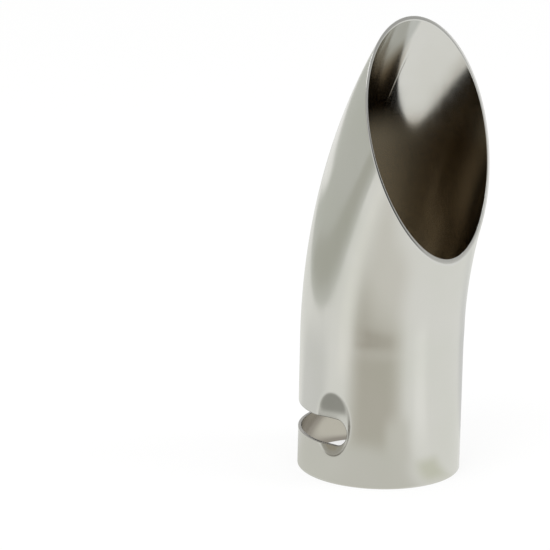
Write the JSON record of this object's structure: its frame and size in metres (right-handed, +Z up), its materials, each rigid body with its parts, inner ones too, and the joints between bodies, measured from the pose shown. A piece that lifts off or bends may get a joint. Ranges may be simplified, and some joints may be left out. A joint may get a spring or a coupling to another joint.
{
  "type": "exhaust tip",
  "caption": "Bent exhaust tip of thin polished steel tube, with a straight slotted socket at one end and a long slanted oval mouth at the other.",
  "frame": {"origin": "centre of the socket's lower end, on the socket's axis, in the plane of the rim that the tip stands on", "axes": "+Z up the socket's axis from the lower end towards the bend, -Y towards the side that the bend and the mouth lean to, +Y towards the middle of the fixing slot"},
  "size_m": [0.06, 0.0642, 0.1698],
  "materials": {
    "polished_stainless": "polished stainless steel with a faint satin haze"
  },
  "bodies": {
    "root": {"tip_tube": "polished_stainless"}
  },
  "joints": []
}
